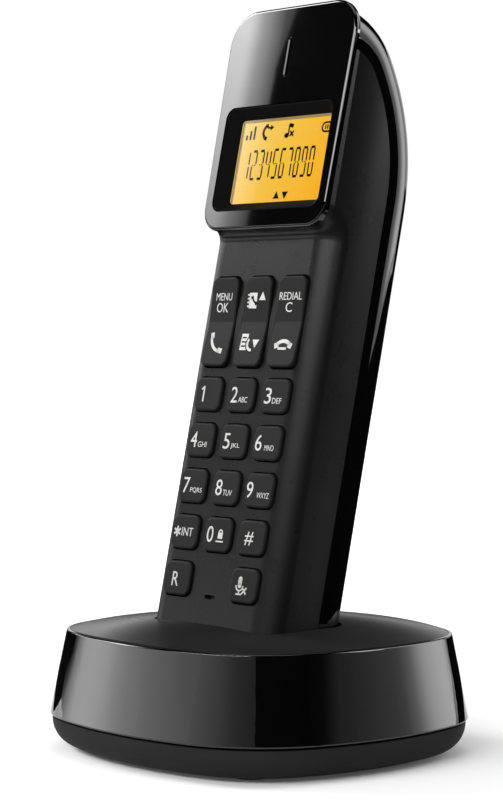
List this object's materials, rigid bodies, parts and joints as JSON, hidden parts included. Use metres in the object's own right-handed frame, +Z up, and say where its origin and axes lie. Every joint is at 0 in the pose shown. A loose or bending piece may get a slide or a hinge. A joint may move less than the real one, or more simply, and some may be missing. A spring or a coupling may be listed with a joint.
{
  "type": "cordless phone with base",
  "caption": "Cordless telephone handset with keypad and lit display, standing tilted in a rounded charging base with rear sockets.",
  "frame": {"origin": "on the table under the middle of the base", "axes": "+Z up; the keypad faces -Y; +X to the right of someone facing the keypad"},
  "size_m": [0.0968, 0.0938, 0.1852],
  "materials": {
    "base_matt": "fine spark-eroded matt black",
    "gloss_black": "piano gloss black",
    "foot_rubber": "matt rubber",
    "steel": "plated steel",
    "contact_metal": "bright nickel plate",
    "circuit_board": "green solder mask",
    "tin_plate": "tinned sheet",
    "dark_moulding": "plain black moulding",
    "handset_matt": "soft matt black",
    "clear_lens": "clear acrylic",
    "lcd_amber": "amber lit display",
    "light_guide": "amber light guide",
    "mat_rubber": "grey silicone",
    "speaker_can": "grey metal",
    "cell_jacket": "plain green jacket",
    "key_matt": "matt black with white print"
  },
  "bodies": {
    "base": {"base_tray": "base_matt", "base_band": "gloss_black", "base_top": "base_matt", "rubber_feet": "foot_rubber", "base_screws": "steel", "charge_contacts": "contact_metal", "base_board": "circuit_board", "base_radio_can": "tin_plate", "page_switch": "dark_moulding", "line_jack": "dark_moulding", "power_jack": "dark_moulding"},
    "handset": {"front_housing": "handset_matt", "display_fascia": "gloss_black", "rear_housing": "gloss_black", "window_frame": "handset_matt", "display_lens": "clear_lens", "lcd_cell": "lcd_amber", "lcd_backlight": "light_guide", "handset_board": "circuit_board", "handset_radio_can": "tin_plate", "keypad_mat": "mat_rubber", "earpiece": "speaker_can", "microphone": "speaker_can", "ringer": "speaker_can", "battery_cells": "cell_jacket", "battery_contacts": "contact_metal", "charge_pads": "contact_metal", "handset_screws": "steel"},
    "battery_door": {"battery_door": "gloss_black"},
    "page_button": {"page_button": "key_matt"},
    "key_1": {"key_1": "key_matt"},
    "key_2": {"key_2": "key_matt"},
    "key_3": {"key_3": "key_matt"},
    "key_4": {"key_4": "key_matt"},
    "key_5": {"key_5": "key_matt"},
    "key_6": {"key_6": "key_matt"},
    "key_7": {"key_7": "key_matt"},
    "key_8": {"key_8": "key_matt"},
    "key_9": {"key_9": "key_matt"},
    "key_star": {"key_star": "key_matt"},
    "key_0": {"key_0": "key_matt"},
    "key_hash": {"key_hash": "key_matt"},
    "key_recall": {"key_recall": "key_matt"},
    "key_mute": {"key_mute": "key_matt"},
    "rocker_left": {"rocker_left": "key_matt"},
    "rocker_middle": {"rocker_middle": "key_matt"},
    "rocker_right": {"rocker_right": "key_matt"}
  },
  "joints": [
    {"name": "handset_lift", "type": "slide", "parent": "base", "child": "handset", "axis": [0, 0.2096, 0.9778], "range_m": [0, 0.06]},
    {"name": "battery_door_slide", "type": "slide", "parent": "handset", "child": "battery_door", "axis": [0, -0.2096, -0.9778], "range_m": [0, 0.007]},
    {"name": "page_press", "type": "slide", "parent": "base", "child": "page_button", "axis": [0, -1, 0], "range_m": [0, 0.0008], "stiffness_N_per_m": 900},
    {"name": "key_1_press", "type": "slide", "parent": "handset", "child": "key_1", "axis": [0, 0.9778, -0.2096], "range_m": [0, 0.0008], "stiffness_N_per_m": 900},
    {"name": "key_2_press", "type": "slide", "parent": "handset", "child": "key_2", "axis": [0, 0.9778, -0.2096], "range_m": [0, 0.0008], "stiffness_N_per_m": 900},
    {"name": "key_3_press", "type": "slide", "parent": "handset", "child": "key_3", "axis": [0, 0.9778, -0.2096], "range_m": [0, 0.0008], "stiffness_N_per_m": 900},
    {"name": "key_4_press", "type": "slide", "parent": "handset", "child": "key_4", "axis": [0, 0.9778, -0.2096], "range_m": [0, 0.0008], "stiffness_N_per_m": 900},
    {"name": "key_5_press", "type": "slide", "parent": "handset", "child": "key_5", "axis": [0, 0.9778, -0.2096], "range_m": [0, 0.0008], "stiffness_N_per_m": 900},
    {"name": "key_6_press", "type": "slide", "parent": "handset", "child": "key_6", "axis": [0, 0.9778, -0.2096], "range_m": [0, 0.0008], "stiffness_N_per_m": 900},
    {"name": "key_7_press", "type": "slide", "parent": "handset", "child": "key_7", "axis": [0, 0.9778, -0.2096], "range_m": [0, 0.0008], "stiffness_N_per_m": 900},
    {"name": "key_8_press", "type": "slide", "parent": "handset", "child": "key_8", "axis": [0, 0.9778, -0.2096], "range_m": [0, 0.0008], "stiffness_N_per_m": 900},
    {"name": "key_9_press", "type": "slide", "parent": "handset", "child": "key_9", "axis": [0, 0.9778, -0.2096], "range_m": [0, 0.0008], "stiffness_N_per_m": 900},
    {"name": "key_star_press", "type": "slide", "parent": "handset", "child": "key_star", "axis": [0, 0.9778, -0.2096], "range_m": [0, 0.0008], "stiffness_N_per_m": 900},
    {"name": "key_0_press", "type": "slide", "parent": "handset", "child": "key_0", "axis": [0, 0.9778, -0.2096], "range_m": [0, 0.0008], "stiffness_N_per_m": 900},
    {"name": "key_hash_press", "type": "slide", "parent": "handset", "child": "key_hash", "axis": [0, 0.9778, -0.2096], "range_m": [0, 0.0008], "stiffness_N_per_m": 900},
    {"name": "key_recall_press", "type": "slide", "parent": "handset", "child": "key_recall", "axis": [0, 0.9778, -0.2096], "range_m": [0, 0.0008], "stiffness_N_per_m": 900},
    {"name": "key_mute_press", "type": "slide", "parent": "handset", "child": "key_mute", "axis": [0, 0.9778, -0.2096], "range_m": [0, 0.0008], "stiffness_N_per_m": 900},
    {"name": "rocker_left_tilt", "type": "hinge", "parent": "handset", "child": "rocker_left", "pos_m": [-0.01244, 0.00081, 0.10549], "axis": [1, 0, 0], "range_deg": [-2.5, 2.5], "stiffness_Nm_per_rad": 0.25},
    {"name": "rocker_middle_tilt", "type": "hinge", "parent": "handset", "child": "rocker_middle", "pos_m": [0, 0.00081, 0.10549], "axis": [1, 0, 0], "range_deg": [-2.5, 2.5], "stiffness_Nm_per_rad": 0.25},
    {"name": "rocker_right_tilt", "type": "hinge", "parent": "handset", "child": "rocker_right", "pos_m": [0.01244, 0.00081, 0.10549], "axis": [1, 0, 0], "range_deg": [-2.5, 2.5], "stiffness_Nm_per_rad": 0.25}
  ]
}
